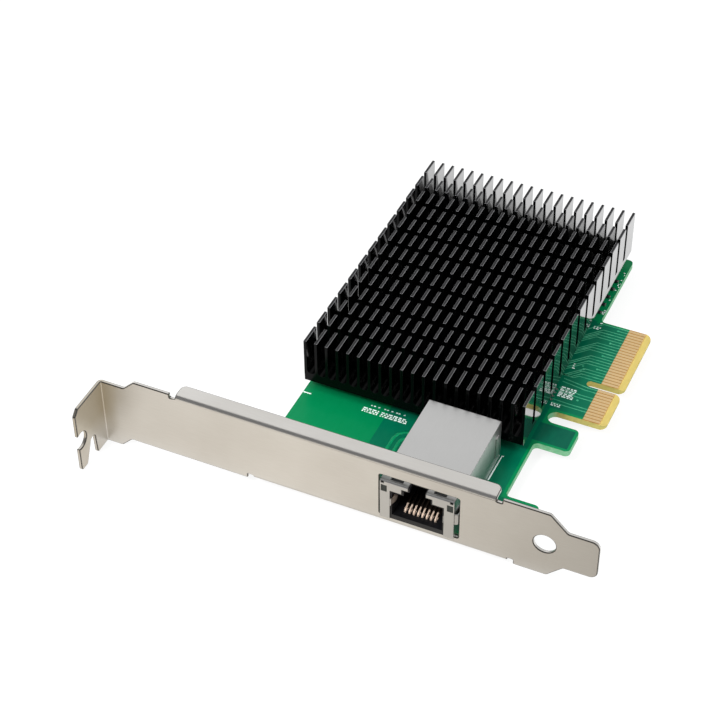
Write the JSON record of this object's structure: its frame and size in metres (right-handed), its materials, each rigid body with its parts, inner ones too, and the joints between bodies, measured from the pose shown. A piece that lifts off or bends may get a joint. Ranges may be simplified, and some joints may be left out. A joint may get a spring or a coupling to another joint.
{
  "type": "network interface card",
  "caption": "Low-profile network interface card with folded bracket, shielded cable jack, cross-cut fin heat sink and keyed edge connector.",
  "frame": {"origin": "where the screw tab's outer face, the bracket's outer face and the board's component side meet, the corner that the expansion slot locates", "axes": "+X along the bracket from the screw tab to the tongue, towards the edge connector; +Y from the bracket into the computer; +Z out of the board's component side"},
  "size_m": [0.12, 0.1169, 0.0211],
  "materials": {
    "plated_steel": "satin",
    "screw_steel": "bright",
    "board_laminate": "satin solder mask",
    "gold_plating": "bright",
    "shell_steel": "satin",
    "black_plastic": "matte",
    "light_guide": "clear",
    "potting": "matte",
    "tinned_pins": "satin",
    "black_aluminium": "black anodised",
    "spacer_steel": "satin",
    "thermal_pad": "soft",
    "chip_package": "satin",
    "lid_metal": "satin",
    "chip_black": "matte",
    "crystal_can": "satin",
    "inductor_grey": "matte",
    "capacitor_ceramic": "satin",
    "resistor_black": "glossy",
    "tinned_ends": "satin"
  },
  "bodies": {
    "root": {"bracket": "plated_steel", "bracket_screws": "screw_steel", "circuit_board": "board_laminate", "edge_contacts_top": "gold_plating", "edge_contacts_bottom": "gold_plating", "jack_shield": "shell_steel", "jack_housing": "black_plastic", "jack_contacts": "gold_plating", "jack_light_guides": "light_guide", "jack_transformer_module": "potting", "jack_pins": "tinned_pins", "heat_sink": "black_aluminium", "heat_sink_screws": "screw_steel", "heat_sink_spacers": "spacer_steel", "thermal_pad": "thermal_pad", "controller_chip": "chip_package", "controller_lid": "lid_metal", "flash_memory": "chip_black", "flash_memory_leads": "tinned_pins", "clock_crystal": "crystal_can", "power_inductors": "inductor_grey", "voltage_regulators": "chip_black", "ceramic_capacitors": "capacitor_ceramic", "chip_resistors": "resistor_black", "chip_part_ends": "tinned_ends"}
  },
  "joints": []
}
